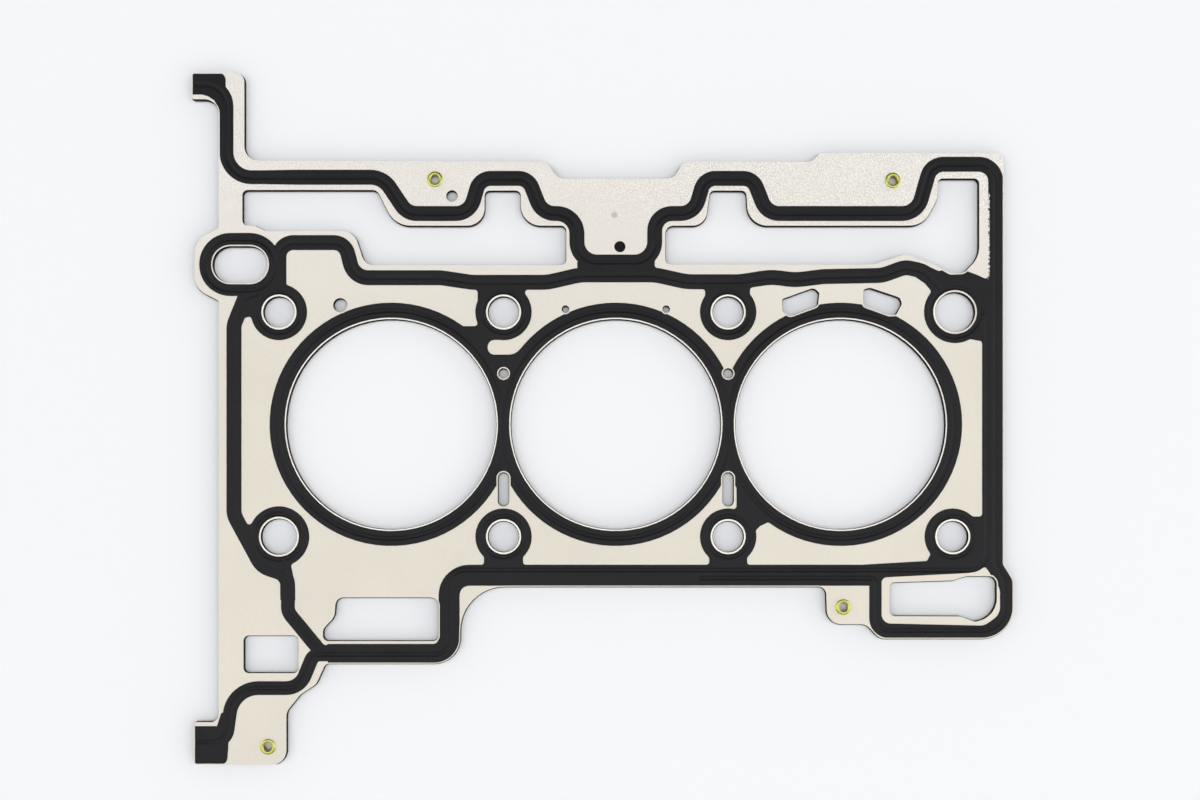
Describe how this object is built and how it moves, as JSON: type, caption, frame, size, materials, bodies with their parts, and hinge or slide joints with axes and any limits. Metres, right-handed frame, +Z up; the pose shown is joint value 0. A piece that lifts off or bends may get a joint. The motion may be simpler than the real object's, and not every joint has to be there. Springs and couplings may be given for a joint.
{
  "type": "cylinder head gasket",
  "caption": "Flat multi-layer steel gasket with round cylinder openings, embossed sealing beads under a black film, bolt and dowel holes and brass eyelets that hold its layers together",
  "frame": {"origin": "centre of the middle cylinder opening, on the ground that the gasket lies on", "axes": "+X along the row of cylinders from the front cover lugs to the back, +Y towards the oil gallery side, +Z up, away from the cylinder block"},
  "size_m": [0.2854, 0.2403, 0.0024],
  "materials": {
    "spacer_steel": "thin dull black coating",
    "sheet_steel": "warm fine-grained",
    "sealing_film": "satin black",
    "eyelet_brass": "yellow-green passivated"
  },
  "bodies": {
    "root": {"spacer_layer": "spacer_steel", "upper_layer": "sheet_steel", "lower_layer": "sheet_steel", "upper_coating": "sealing_film", "lower_coating": "sealing_film", "front_rail_eyelet": "eyelet_brass", "back_rail_eyelet": "eyelet_brass", "front_lug_eyelet": "eyelet_brass", "drain_eyelet": "eyelet_brass"}
  },
  "joints": []
}
